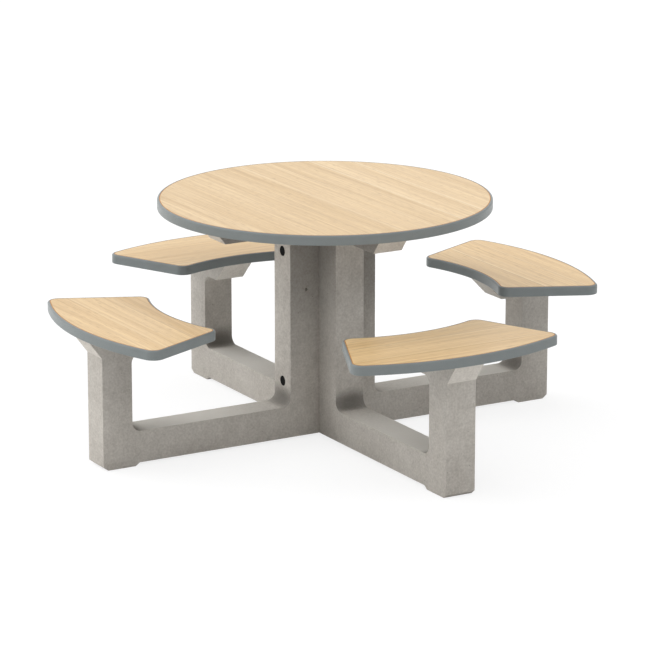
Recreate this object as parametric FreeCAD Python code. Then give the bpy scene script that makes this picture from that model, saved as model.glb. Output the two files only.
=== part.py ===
import FreeCAD, Part
import math
import os

# A round picnic table with four fixed seats on a cross of three concrete frames.
# Millimetres and degrees. Origin on the floor under the middle of the table, Z up.
# The main frame runs along X; the front half frame points to -Y and the rear one to +Y.
Vec = FreeCAD.Vector
UP = Vec(0, 0, 1)
CENTRE = Vec(0, 0, 0)
OUTWARD = Vec(1, 0, 0)
ARMS = {"right": 0.0, "rear": 90.0, "left": 180.0, "front": 270.0}
HALF_FRAMES = ["front", "rear"]
SAME_LEVEL = 0.001

# Table top and seats
TABLE_HEIGHT = 750.0
TABLE_DIAMETER = 1036.0
SEAT_HEIGHT = 446.0
SEAT_DEPTH = 314.0
SEAT_OVERHANG = 61.0
SEAT_HALF_ANGLE = 25.0
SEAT_CORNER_RADIUS = 36.0

# Boards: a core between two laminate sheets, with a moulded band round the edge
CORE_THICKNESS = 28.4
SHEET_THICKNESS = 0.8
BAND_THICKNESS = 7.0
BAND_TOP_ROUND = 6.0
BAND_BOTTOM_ROUND = 2.0

# Concrete frames
SLAB_THICKNESS = 100.0
INNER_POST_REACH = 152.0
OUTER_POST_REACH = 800.0
OUTER_POST_WIDTH = 100.0
RAIL_DEPTH = 100.0
CORNER_ROUND = 28.0
ARRIS = 2.0

# Feet under the outer posts
FOOT_HEIGHT = 10.0
FOOT_LENGTH = 109.0
FOOT_DRAFT = 13.0
TOE_LENGTH = 16.0
TOE_HEIGHT = 12.0

# Heads that carry the boards: a flat underside and a slanted end
TABLE_HEAD_DEPTH = 66.0
TABLE_HEAD_REACH = 377.0
TABLE_HEAD_SLANT = 51.5
SEAT_HEAD_DEPTH = 63.5
SEAT_HEAD_LENGTH = 79.0
SEAT_HEAD_SLANT = 62.0
SEAT_FLARE = 47.5

# Bolts that hold the half frames, from capped recesses in their inner posts into sockets in the main frame
UPPER_BOLT_DROP = 124.0
LOWER_BOLT_RISE = 71.0
FRAME_BOLT_DIAMETER = 12.0
FRAME_BOLT_FLATS = 18.0
FRAME_BOLT_HEAD = 7.5
FRAME_WASHER_DIAMETER = 24.0
FRAME_WASHER_THICKNESS = 2.5
RECESS_DIAMETER = 32.0
RECESS_DEPTH = 40.0
CAP_LENGTH = 12.0
CAP_WALL = 2.5
CAP_SET_BACK = 0.5
CAP_ROUND = 1.0
SOCKET_DIAMETER = 20.0
SOCKET_LENGTH = 36.0
SOCKET_END = 6.0

# Bolts that hold the boards, sunk into the heads from below, and the inserts in the cores that take them
BOLT_DIAMETER = 10.0
BOLT_HEAD_FLATS = 16.0
BOLT_HEAD_HEIGHT = 6.4
BOLT_TIP_CHAMFER = 1.0
BOLT_HOLE_CLEARANCE = 1.0
BOLT_EDGE_MARGIN = 24.0
BOLT_SPACING_TABLE = 90.0
BOLT_SPACING_SEAT = 50.0
WASHER_DIAMETER = 20.0
WASHER_THICKNESS = 2.0
SINK_CLEARANCE = 3.0
INSERT_DIAMETER = 14.0
INSERT_LENGTH = 18.0
THREAD_CLEARANCE = 0.1
BOLT_TIP_CLEARANCE = 1.0

# Round face of a bolt head or nut, as a share of its flats, and the slope of the cone round it
HEXAGON_FACE = 0.95
HEXAGON_CONE = math.radians(30)

# Levels and radii that follow from the sizes above
BOARD_THICKNESS = CORE_THICKNESS + 2 * SHEET_THICKNESS
HALF_SLAB = SLAB_THICKNESS / 2
TABLE_BED_LEVEL = TABLE_HEIGHT - BOARD_THICKNESS
TABLE_HEAD_LEVEL = TABLE_BED_LEVEL - TABLE_HEAD_DEPTH
SEAT_BED_LEVEL = SEAT_HEIGHT - BOARD_THICKNESS
SEAT_HEAD_LEVEL = SEAT_BED_LEVEL - SEAT_HEAD_DEPTH
RAIL_TOP = FOOT_HEIGHT + RAIL_DEPTH
FRAME_BOLT_HEIGHTS = [TABLE_BED_LEVEL - UPPER_BOLT_DROP, RAIL_TOP + LOWER_BOLT_RISE]
OUTER_POST_INSIDE = OUTER_POST_REACH - OUTER_POST_WIDTH
SEAT_OUTER_RADIUS = OUTER_POST_REACH + SEAT_OVERHANG
SEAT_INNER_RADIUS = SEAT_OUTER_RADIUS - SEAT_DEPTH
SEAT_HEAD_TIP = OUTER_POST_INSIDE - SEAT_HEAD_LENGTH
RECESS_FLOOR = INNER_POST_REACH - RECESS_DEPTH
SINK_DIAMETER = WASHER_DIAMETER + 2 * SINK_CLEARANCE
SINK_DEPTH = WASHER_THICKNESS + BOLT_HEAD_HEIGHT + SINK_CLEARANCE
TABLE_BOLT_RADII = [TABLE_HEAD_REACH - BOLT_EDGE_MARGIN - step * BOLT_SPACING_TABLE for step in (0, 1)]
SEAT_BOLT_RADIUS = SEAT_HEAD_TIP + BOLT_EDGE_MARGIN


def tangent_arc(before, corner, after, radius):
    """Arc that rounds a corner, touching the two straight runs that meet there."""
    to_before = (before - corner).normalize()
    to_after = (after - corner).normalize()
    half_angle = to_before.getAngle(to_after) / 2
    inward = (to_before + to_after).normalize()
    reach = radius / math.tan(half_angle)
    middle = corner + inward * (radius / math.sin(half_angle) - radius)
    return [corner + to_before * reach, middle, corner + to_after * reach]


def rounded_outline(corners):
    """Closed wire in the XZ plane through (x, z, radius) corners, rounded by arcs, sharp at radius 0."""
    points = [Vec(x, 0, z) for x, z, radius in corners]
    stops = []
    for i, (x, z, radius) in enumerate(corners):
        after = points[(i + 1) % len(points)]
        stops.append(tangent_arc(points[i - 1], points[i], after, radius) if radius else [points[i]])
    edges = []
    for stop, following in zip(stops, stops[1:] + stops[:1]):
        if len(stop) == 3:
            edges.append(Part.Arc(*stop).toShape())
        edges.append(Part.LineSegment(stop[-1], following[0]).toShape())
    return Part.Wire(edges)


def turned(shape, angle):
    """Copy of a shape modelled on the +X arm, turned about the table's axis to another arm."""
    copy = shape.copy()
    copy.rotate(CENTRE, UP, angle)
    return copy


def on_arms(names, solids):
    """The solids of the +X arm repeated on the named arms, as separate solids of one node."""
    return Part.makeCompound([turned(solid, ARMS[name]) for name in names for solid in solids])


def cylinder(diameter, height, base, direction=UP):
    return Part.makeCylinder(diameter / 2, height, base, direction)


def placed(shape, base, direction):
    """Copy of a shape modelled upwards from the origin, moved to a base and pointed in a direction."""
    copy = shape.copy()
    copy.Placement = FreeCAD.Placement(base, FreeCAD.Rotation(UP, direction))
    return copy


def ring(outer, inner, height, base, direction=UP):
    return cylinder(outer, height, base, direction).cut(cylinder(inner, height, base, direction))


# Concrete frames
def arm_outline():
    """Corners of one arm from the foot outwards, over the seat head and the rail, up to the table head."""
    foot_inner = OUTER_POST_REACH - FOOT_LENGTH
    return [
        (foot_inner - FOOT_DRAFT, FOOT_HEIGHT, 0),
        (foot_inner, 0, 0),
        (OUTER_POST_REACH - TOE_LENGTH, 0, 0),
        (OUTER_POST_REACH, TOE_HEIGHT, 0),
        (OUTER_POST_REACH, SEAT_HEAD_LEVEL, 0),
        (OUTER_POST_REACH + SEAT_FLARE, SEAT_BED_LEVEL, 0),
        (SEAT_HEAD_TIP - SEAT_HEAD_SLANT, SEAT_BED_LEVEL, 0),
        (SEAT_HEAD_TIP, SEAT_HEAD_LEVEL, 0),
        (OUTER_POST_INSIDE, SEAT_HEAD_LEVEL, CORNER_ROUND),
        (OUTER_POST_INSIDE, RAIL_TOP, CORNER_ROUND),
        (INNER_POST_REACH, RAIL_TOP, CORNER_ROUND),
        (INNER_POST_REACH, TABLE_HEAD_LEVEL, CORNER_ROUND),
        (TABLE_HEAD_REACH, TABLE_HEAD_LEVEL, 0),
        (TABLE_HEAD_REACH + TABLE_HEAD_SLANT, TABLE_BED_LEVEL, 0),
    ]


def cast_slab(corners):
    """Slab of even thickness with this outline, standing on the XZ plane, its arrises chamfered."""
    face = Part.Face(rounded_outline(corners))
    face.translate(Vec(0, -HALF_SLAB, 0))
    slab = face.extrude(Vec(0, SLAB_THICKNESS, 0))
    rims = [edge for edge in slab.Edges if edge.BoundBox.YLength < ARRIS / 2]
    return slab.makeChamfer(ARRIS, rims)


def mirrored_corners(corners):
    return [(-x, z, radius) for x, z, radius in reversed(corners)]


def bolt_points():
    """Table and seat bolt positions on the +X arm, on the undersides of its heads."""
    table = [Vec(radius, 0, TABLE_HEAD_LEVEL) for radius in TABLE_BOLT_RADII]
    seat = [Vec(SEAT_BOLT_RADIUS, side * BOLT_SPACING_SEAT / 2, SEAT_HEAD_LEVEL) for side in (-1, 1)]
    return table, seat


def bolt_holes():
    """Clearance holes right through the table head and the seat head of one arm, sunk for bolt heads."""
    table, seat = bolt_points()
    diameter = BOLT_DIAMETER + 2 * BOLT_HOLE_CLEARANCE
    holes = [cylinder(diameter, TABLE_HEAD_DEPTH, point) for point in table]
    holes += [cylinder(diameter, SEAT_HEAD_DEPTH, point) for point in seat]
    holes += [cylinder(SINK_DIAMETER, SINK_DEPTH, point) for point in table + seat]
    return holes


def frame_bolt_holes():
    """Bolt holes along the inner post of the +X arm, each with a round recess for the bolt's head."""
    holes = []
    for height in FRAME_BOLT_HEIGHTS:
        diameter = FRAME_BOLT_DIAMETER + 2 * BOLT_HOLE_CLEARANCE
        holes.append(cylinder(diameter, RECESS_FLOOR - HALF_SLAB, Vec(HALF_SLAB, 0, height), OUTWARD))
        holes.append(cylinder(RECESS_DIAMETER, RECESS_DEPTH, Vec(RECESS_FLOOR, 0, height), OUTWARD))
    return holes


def socket_pockets():
    """Blind pockets for the cast-in sockets, in both sides of the main frame."""
    bottoms = [Vec(HALF_SLAB - SOCKET_LENGTH, 0, height) for height in FRAME_BOLT_HEIGHTS]
    pockets = [cylinder(SOCKET_DIAMETER, SOCKET_LENGTH, bottom, OUTWARD) for bottom in bottoms]
    return [turned(pocket, ARMS[name]) for name in HALF_FRAMES for pocket in pockets]


def main_frame():
    """Full frame along X."""
    arm = arm_outline()
    holes = bolt_holes()
    holes += [turned(hole, 180) for hole in holes]
    return cast_slab(arm + mirrored_corners(arm)).cut(holes + socket_pockets())


def half_frame():
    """Half frame on the +X arm, its inner end flat against the side of the main frame."""
    arm = [(HALF_SLAB, FOOT_HEIGHT, 0)] + arm_outline() + [(HALF_SLAB, TABLE_BED_LEVEL, 0)]
    return cast_slab(arm).cut(bolt_holes() + frame_bolt_holes())


# Boards
def level_edges(solid, height):
    """Edges that lie flat at this height."""
    boxes = [(edge, edge.BoundBox) for edge in solid.Edges]
    return [edge for edge, box in boxes if max(abs(box.ZMin - height), abs(box.ZMax - height)) < SAME_LEVEL]


def prism(outline, bottom, height):
    solid = Part.Face(outline).extrude(UP * height)
    solid.translate(UP * bottom)
    return solid


def table_panel():
    """Round outline of the table's panel, inside its edge band."""
    return Part.Wire(Part.makeCircle(TABLE_DIAMETER / 2 - BAND_THICKNESS))


def panel_arc(radius):
    """Start, middle and end of a seat panel's arc, stopped short of the seat's radial sides by the band."""
    turn = math.radians(SEAT_HALF_ANGLE) - math.asin(BAND_THICKNESS / radius)
    return [Vec(radius * math.cos(angle), radius * math.sin(angle), 0) for angle in (-turn, 0, turn)]


def seat_panel():
    """Outline of a seat's panel on the +X arm: a sector of a ring about the axis, with rounded corners."""
    inner = panel_arc(SEAT_INNER_RADIUS + BAND_THICKNESS)
    outer = panel_arc(SEAT_OUTER_RADIUS - BAND_THICKNESS)
    sector = Part.Wire([
        Part.Arc(*outer).toShape(),
        Part.LineSegment(outer[-1], inner[-1]).toShape(),
        Part.Arc(*reversed(inner)).toShape(),
        Part.LineSegment(inner[0], outer[0]).toShape(),
    ])
    block = prism(sector, 0, BOARD_THICKNESS)
    upright = [edge for edge in block.Edges if edge.BoundBox.ZLength > BOARD_THICKNESS / 2]
    block = block.makeFillet(SEAT_CORNER_RADIUS - BAND_THICKNESS, upright)
    return Part.Wire(Part.sortEdges(level_edges(block, 0))[0])


def board(inside, top, bolts):
    """Core, laminate, backing and edge band round a panel outline, drilled from below for the bolts."""
    underside = top - BOARD_THICKNESS
    block = prism(inside.makeOffset2D(BAND_THICKNESS), underside, BOARD_THICKNESS)
    block = block.makeFillet(BAND_TOP_ROUND, level_edges(block, top))
    block = block.makeFillet(BAND_BOTTOM_ROUND, level_edges(block, underside))
    core_bottom = underside + SHEET_THICKNESS
    sockets = [cylinder(INSERT_DIAMETER, INSERT_LENGTH, Vec(p.x, p.y, core_bottom)) for p in bolts]
    passages = [cylinder(INSERT_DIAMETER, SHEET_THICKNESS, Vec(p.x, p.y, underside)) for p in bolts]
    return {
        "core": prism(inside, core_bottom, CORE_THICKNESS).cut(sockets),
        "laminate": prism(inside, top - SHEET_THICKNESS, SHEET_THICKNESS),
        "backing": prism(inside, underside, SHEET_THICKNESS).cut(passages),
        "edge_band": block.cut(prism(inside, underside, BOARD_THICKNESS)),
    }


# Fasteners
def hexagon_bolt(diameter, flats, head_height, length):
    """Bolt pointing up from its bearing face at the origin, the corners of its head turned off to a cone."""
    turns = [math.radians(60 * step) for step in range(7)]
    corner_radius = flats / math.sqrt(3)
    points = [Vec(corner_radius * math.cos(turn), corner_radius * math.sin(turn), 0) for turn in turns]
    head = Part.Face(Part.makePolygon(points)).extrude(UP * -head_height)
    face_radius = HEXAGON_FACE * flats / 2
    rim_radius = face_radius + head_height / math.tan(HEXAGON_CONE)
    head = head.common(Part.makeCone(rim_radius, face_radius, head_height, CENTRE, -UP))
    shank = cylinder(diameter, length, CENTRE)
    shank = shank.makeChamfer(BOLT_TIP_CHAMFER, level_edges(shank, length))
    return head.fuse(shank)


def board_fasteners(points, bed_level):
    """Bolts, washers and threaded inserts of one arm, from the sinks in its heads up into the board."""
    bore = BOLT_DIAMETER + 2 * THREAD_CLEARANCE
    insert_bottom = bed_level + SHEET_THICKNESS
    bolts, washers, inserts = [], [], []
    for point in points:
        seat = point + UP * (SINK_DEPTH - WASHER_THICKNESS)
        length = insert_bottom + INSERT_LENGTH - BOLT_TIP_CLEARANCE - seat.z
        bolt = hexagon_bolt(BOLT_DIAMETER, BOLT_HEAD_FLATS, BOLT_HEAD_HEIGHT, length)
        bolts.append(placed(bolt, seat, UP))
        washers.append(ring(WASHER_DIAMETER, bore, WASHER_THICKNESS, seat))
        inserts.append(ring(INSERT_DIAMETER, bore, INSERT_LENGTH, Vec(point.x, point.y, insert_bottom)))
    return {"bolts": bolts, "bolt_washers": washers, "inserts": inserts}


def recess_cap():
    """Cup pointing up from its open end at the origin, its closed end rounded; it fits a recess."""
    cap = cylinder(RECESS_DIAMETER, CAP_LENGTH, CENTRE)
    cap = cap.makeFillet(CAP_ROUND, level_edges(cap, CAP_LENGTH))
    return cap.cut(cylinder(RECESS_DIAMETER - 2 * CAP_WALL, CAP_LENGTH - CAP_WALL, CENTRE))


def frame_fasteners():
    """Bolts, washers, caps and blind threaded sockets of the half frame on the +X arm."""
    bore = FRAME_BOLT_DIAMETER + 2 * THREAD_CLEARANCE
    bore_end = HALF_SLAB - SOCKET_LENGTH + SOCKET_END
    cap_base = INNER_POST_REACH - CAP_SET_BACK - CAP_LENGTH
    bolts, washers, caps, sockets = [], [], [], []
    for height in FRAME_BOLT_HEIGHTS:
        bed = Vec(RECESS_FLOOR, 0, height)
        seat = bed + OUTWARD * FRAME_WASHER_THICKNESS
        length = seat.x - bore_end - BOLT_TIP_CLEARANCE
        bolt = hexagon_bolt(FRAME_BOLT_DIAMETER, FRAME_BOLT_FLATS, FRAME_BOLT_HEAD, length)
        bolts.append(placed(bolt, seat, -OUTWARD))
        washers.append(ring(FRAME_WASHER_DIAMETER, bore, FRAME_WASHER_THICKNESS, bed, OUTWARD))
        caps.append(placed(recess_cap(), Vec(cap_base, 0, height), OUTWARD))
        socket = cylinder(SOCKET_DIAMETER, SOCKET_LENGTH, Vec(HALF_SLAB - SOCKET_LENGTH, 0, height), OUTWARD)
        sockets.append(socket.cut(cylinder(bore, HALF_SLAB - bore_end, Vec(bore_end, 0, height), OUTWARD)))
    return {"bolts": bolts, "bolt_washers": washers, "bolt_caps": caps, "sockets": sockets}


def build():
    """All pieces by node name."""
    nodes = {}
    nodes["main_frame"] = main_frame()
    half = half_frame()
    for name in HALF_FRAMES:
        nodes[name + "_half_frame"] = turned(half, ARMS[name])
    for piece, solids in frame_fasteners().items():
        nodes["frame_" + piece] = on_arms(HALF_FRAMES, solids)

    table_points, seat_points = bolt_points()
    arm_turns = [FreeCAD.Rotation(UP, angle) for angle in ARMS.values()]
    cross_points = [turn.multVec(point) for turn in arm_turns for point in table_points]
    for piece, solid in board(table_panel(), TABLE_HEIGHT, cross_points).items():
        nodes["table_" + piece] = solid
    for piece, solid in board(seat_panel(), SEAT_HEIGHT, seat_points).items():
        for name, angle in ARMS.items():
            nodes[name + "_seat_" + piece] = turned(solid, angle)

    for piece, solids in board_fasteners(table_points, TABLE_BED_LEVEL).items():
        nodes["table_" + piece] = on_arms(ARMS, solids)
    for piece, solids in board_fasteners(seat_points, SEAT_BED_LEVEL).items():
        nodes["seat_" + piece] = on_arms(ARMS, solids)
    return nodes


os.makedirs("parts", exist_ok=True)
for node, shape in build().items():
    shape.exportStep("parts/" + node + ".step")
    print(node, len(shape.Solids), round(shape.Volume), shape.isValid())
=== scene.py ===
import math

import bmesh
import bpy
import numpy as np
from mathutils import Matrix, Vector
from mathutils.geometry import delaunay_2d_cdt


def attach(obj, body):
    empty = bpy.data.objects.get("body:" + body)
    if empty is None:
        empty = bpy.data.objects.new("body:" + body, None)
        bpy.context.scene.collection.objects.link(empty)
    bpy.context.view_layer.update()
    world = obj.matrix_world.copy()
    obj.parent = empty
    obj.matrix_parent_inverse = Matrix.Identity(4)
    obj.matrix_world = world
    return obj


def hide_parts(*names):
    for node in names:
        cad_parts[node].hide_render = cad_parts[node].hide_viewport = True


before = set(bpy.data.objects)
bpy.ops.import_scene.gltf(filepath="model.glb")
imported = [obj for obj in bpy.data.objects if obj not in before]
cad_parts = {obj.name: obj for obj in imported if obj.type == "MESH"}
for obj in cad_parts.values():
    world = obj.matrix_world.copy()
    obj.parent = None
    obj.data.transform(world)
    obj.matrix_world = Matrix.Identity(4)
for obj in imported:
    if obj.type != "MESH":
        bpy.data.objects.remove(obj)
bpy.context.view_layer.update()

# A round picnic table with four fixed seats on a cross of concrete castings, in metres.
# The castings are drawn in arm coordinates (u outwards, t across the slab, z up) and turned to their arm.
MM = 0.001
ARM_TURNS = {"right": 0.0, "rear": 90.0, "left": 180.0, "front": 270.0}
WELD = 0.003 * MM
# Angles in degrees from which an edge is shaded sharp
SHARP = {"casting": 45, "bolt": 28, "washer": 40}

# Castings: heights in the outline
RAIL_UNDER = 10 * MM
TOE_TOP = 12 * MM
RAIL_TOP = 110 * MM
HEAD_SEAT = 352.5 * MM
BED_SEAT = 416 * MM
HEAD_TABLE = 654 * MM
BED_TABLE = 720 * MM

# Castings: places along the arm, and the outline's corners as (u, z, radius)
HALF_SLAB = 50 * MM
INNER_POST = 152 * MM
TABLE_SLANT = 377 * MM
TABLE_BED_END = 428.5 * MM
SEAT_BED_START = 559 * MM
SEAT_SLANT = 621 * MM
FOOT_SLOPE = 678 * MM
FOOT_START = 691 * MM
OUTER_POST = 700 * MM
FOOT_END = 784 * MM
ARM_END = 800 * MM
SEAT_BED_END = 847.5 * MM
EASED = 2 * MM
FILLET = 28 * MM
ARM_CORNERS = [
    (FOOT_SLOPE, RAIL_UNDER, EASED), (FOOT_START, 0.0, EASED), (FOOT_END, 0.0, EASED),
    (ARM_END, TOE_TOP, EASED), (ARM_END, HEAD_SEAT, EASED),
    (SEAT_BED_END, BED_SEAT, EASED), (SEAT_BED_START, BED_SEAT, EASED), (SEAT_SLANT, HEAD_SEAT, EASED),
    (OUTER_POST, HEAD_SEAT, FILLET), (OUTER_POST, RAIL_TOP, FILLET),
    (INNER_POST, RAIL_TOP, FILLET), (INNER_POST, HEAD_TABLE, FILLET),
    (TABLE_SLANT, HEAD_TABLE, EASED), (TABLE_BED_END, BED_TABLE, EASED),
]
RAIL_MIDDLE = (INNER_POST + OUTER_POST) / 2
RAIL_HALF = (OUTER_POST - INNER_POST) / 2

# Castings: bolt holes, their places as (u, t)
FRAME_BOLT_HEIGHTS = (596 * MM, 181 * MM)
FRAME_BOLT_HOLE = 7 * MM
SOCKET_RADIUS = 10 * MM
SOCKET_DEPTH = 36 * MM
RECESS_RADIUS = 16 * MM
RECESS_FLOOR = 112 * MM
RECESS_LIP = 1.2 * MM
BOLT_HOLE = 6 * MM
SINK_RADIUS = 13 * MM
SINK_DEPTH = 11.4 * MM
TABLE_BOLTS = [(353 * MM, 0.0), (263 * MM, 0.0)]
SEAT_BOLTS = [(645 * MM, -25 * MM), (645 * MM, 25 * MM)]

# Castings: worn arrises, each wave of their radius shifted by up to about a turn
ARRIS = 1.6 * MM
ARRIS_WAVE = 0.4 * MM
ARRIS_WAVELENGTHS = (310 * MM, 117 * MM, 47 * MM)
WAVE_SHIFT = 6.28

# Castings: air-bubble pits; their radii are in millimetres, and their numbers are for a metre of outline
PIT_RADII = (0.7, 1.5)
PIT_SHRINK = np.array([1, 0.85, 0.5, 0])
PIT_SINK = np.array([0, 0.5, 0.9, 1])
PIT_APART = 15 * MM
PIT_FROM_EDGE = 12 * MM
PIT_FROM_BEND = 10 * MM
PIT_FROM_ARRIS = 9 * MM
PIT_FROM_HOLE = 8 * MM
PIT_TRIES = 12
SIDE_PITS = 4
RUN_PITS = 5
SEEDS = {"main": 11, "front": 23, "rear": 37}
# The one pit that shows from afar: its side of the front half frame, its place there and its radius
LARGE_PIT = (1, (95 * MM, 478 * MM), 5 * MM)

# Castings: how finely they are divided, arcs in steps a radian
RUN_STEP = 12 * MM
QUARTER_ROUND = np.linspace(0, math.pi / 2, 5)
ARC_LEAST = 5
ARC_FILLET = 14
ARC_EASED = 5
HOLE_SIDES = 24
PIT_SIDES = 10

# Boards
TABLE_TOP = 750 * MM
SEAT_TOP = 446 * MM
TABLE_RADIUS = 518 * MM
SEAT_INNER = 547 * MM
SEAT_OUTER = 861 * MM
SEAT_HALF_ANGLE = math.radians(25)
SEAT_CORNER = 36 * MM
SEAT_MIDDLE = np.array([(SEAT_INNER + SEAT_OUTER) / 2, 0.0])
BOARD_DEPTH = 30 * MM
BAND = 7 * MM
BAND_TOP_ROUND = 6 * MM
BAND_BOTTOM_ROUND = 2 * MM
SHEET = 0.8 * MM
SHEET_BEVEL = 2.4 * MM
SHEET_CUT = 0.6 * MM
SHEET_RINGS = np.array([1, 0.86, 0.7, 0.52, 0.34, 0.16, 0])
JOINT = 0.5 * MM
JOINT_EASE = 0.3 * JOINT
TABLE_POINTS = 480
SEAT_OUTER_POINTS = 96
SEAT_INNER_POINTS = 72
SEAT_CORNER_POINTS = 24

# Boards: how far each print is shifted along and across the grain, and its layer of the pattern,
# which lies above the table's for the seats
TABLE_LAYER = 0.0
GRAIN_SHIFTS = {
    "table": (0.0, 23 * MM, TABLE_LAYER),
    "right_seat": (2.1, 0.31, 3.0),
    "rear_seat": (4.7, 1.13, 5.0),
    "left_seat": (6.2, 2.07, 7.0),
    "front_seat": (8.4, 0.72, 9.0),
}

# Fasteners; the flat face on a bolt's head is a share of its width across flats
SMALL_BOLT = {"flats": 16 * MM, "head": 6.4 * MM, "shank": 5 * MM}
SMALL_WASHER = {"outer": 10 * MM, "bore": 5.1 * MM, "thickness": 2 * MM}
LARGE_BOLT = {"flats": 18 * MM, "head": 7.5 * MM, "shank": 6 * MM}
LARGE_WASHER = {"outer": 12 * MM, "bore": 6.1 * MM, "thickness": 2.5 * MM}
BOLT_TIP = 1 * MM
HEAD_FACE = 0.95
HEAD_CONE_POINTS = 7
HEAD_CONE = math.radians(30)
WASHER_EASE = 0.35 * MM
INSERT_REACH = 17.8 * MM
SOCKET_REACH = 21 * MM


# Surfaces
def grid_quads(rows, columns):
    """Corner numbers of a grid's quads, row by row, the last column joined to the first."""
    row, column = np.meshgrid(np.arange(rows - 1), np.arange(columns), indexing="ij")
    after = (column + 1) % columns
    this_row, next_row = row * columns, (row + 1) * columns
    corners = [this_row + column, this_row + after, next_row + after, next_row + column]
    return np.stack(corners, -1).reshape(-1, 4)


def surface(points, faces, smooth=True, finish=0):
    """One stretch of a piece: its points, the corner numbers of its faces, and how the faces are shaded."""
    count = len(faces)
    return {"points": np.asarray(points, float).reshape(-1, 3), "faces": np.asarray(faces),
            "smooth": np.broadcast_to(np.asarray(smooth, bool), count), "finish": np.full(count, finish)}


def grid_surface(points, **shading):
    """Grid of points (rows, columns, 3) whose columns close on themselves."""
    return surface(points, grid_quads(*points.shape[:2]), **shading)


def moved(stretch, turn_degrees=0.0, shift=(0.0, 0.0, 0.0)):
    """The stretch turned about the table's axis, then shifted."""
    turn = math.radians(turn_degrees)
    spin = np.array([[math.cos(turn), -math.sin(turn), 0], [math.sin(turn), math.cos(turn), 0], [0, 0, 1]])
    return {**stretch, "points": stretch["points"] @ spin.T + np.asarray(shift)}


def make_piece(name, stretches, materials, node, sharp_angle=None):
    """Joins stretches where edges meet, turns the faces outwards, and stands the piece for a CAD node."""
    points = np.concatenate([stretch["points"] for stretch in stretches])
    starts = np.cumsum([0] + [len(stretch["points"]) for stretch in stretches])
    faces = []
    for stretch, start in zip(stretches, starts):
        faces += (stretch["faces"] + start).tolist()
    mesh = bpy.data.meshes.new(name)
    mesh.from_pydata(points.tolist(), [], faces)
    flags = {key: np.concatenate([stretch[key] for stretch in stretches]) for key in ("smooth", "finish")}
    mesh.polygons.foreach_set("use_smooth", flags["smooth"])
    mesh.polygons.foreach_set("material_index", flags["finish"].astype(np.int32))
    work = bmesh.new()
    work.from_mesh(mesh)
    bmesh.ops.remove_doubles(work, verts=work.verts, dist=WELD)
    bmesh.ops.recalc_face_normals(work, faces=work.faces)
    work.to_mesh(mesh)
    work.free()
    if sharp_angle is not None:
        mesh.set_sharp_from_angle(angle=math.radians(sharp_angle))
    for material in materials:
        mesh.materials.append(material)
    piece = bpy.data.objects.new(name, mesh)
    bpy.context.collection.objects.link(piece)
    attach(piece, "root")
    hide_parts(node)
    return piece


def point_places(mesh):
    """The mesh's points as rows of X, Y and Z."""
    places = np.empty(len(mesh.vertices) * 3, np.float32)
    mesh.vertices.foreach_get("co", places)
    return places.reshape(-1, 3)


def store_places(mesh, name, places):
    """Stores a place at each point of the mesh, where a material reads it by name."""
    attribute = mesh.attributes.new(name, "FLOAT_VECTOR", "POINT")
    attribute.data.foreach_set("vector", places.astype(np.float32).ravel())


def circle(count):
    """Cosines and sines of turns that divide a circle evenly."""
    turns = np.arange(count) * 2 * math.pi / count
    return np.cos(turns), np.sin(turns)


def round_loop(centre, radius, count):
    """Flat circle as its centre, its radius and its points: centre + radius * (cos, sin)."""
    centre = np.array(centre)
    return centre, radius, centre + radius * np.stack(circle(count), -1)


def tube(axis_points, radii, first, second):
    """Round wall about an axis: at each axis point a ring of its radius, in the plane of two directions."""
    across, along = circle(HOLE_SIDES)
    ring = across[:, None] * np.asarray(first) + along[:, None] * np.asarray(second)
    return grid_surface(np.asarray(axis_points)[:, None, :] + np.asarray(radii)[:, None, None] * ring)


def filled(outer, loops, ties=()):
    """Triangles that fill an outer loop of flat points but leave round loops (centre, radius, points) open.

    Ties are pairs of the outer loop's points whose straight line no triangle crosses.
    """
    rings = [np.asarray(outer)] + [ring for centre, radius, ring in loops]
    edges, start = list(ties), 0
    for ring in rings:
        numbers = start + np.arange(len(ring))
        edges += np.stack([numbers, np.roll(numbers, -1)], -1).tolist()
        start += len(ring)
    inside_only, touching = 1, 1e-9
    given = [Vector(place) for place in np.concatenate(rings)]
    made = delaunay_2d_cdt(given, edges, [], inside_only, touching)
    places, triangles = np.array([tuple(place) for place in made[0]]), np.array(made[2])
    middles = places[triangles].mean(1)
    keep = np.ones(len(triangles), bool)
    for centre, radius, ring in loops:
        keep &= np.linalg.norm(middles - centre, axis=1) > radius * math.cos(math.pi / len(ring))
    return places, triangles[keep]


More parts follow.
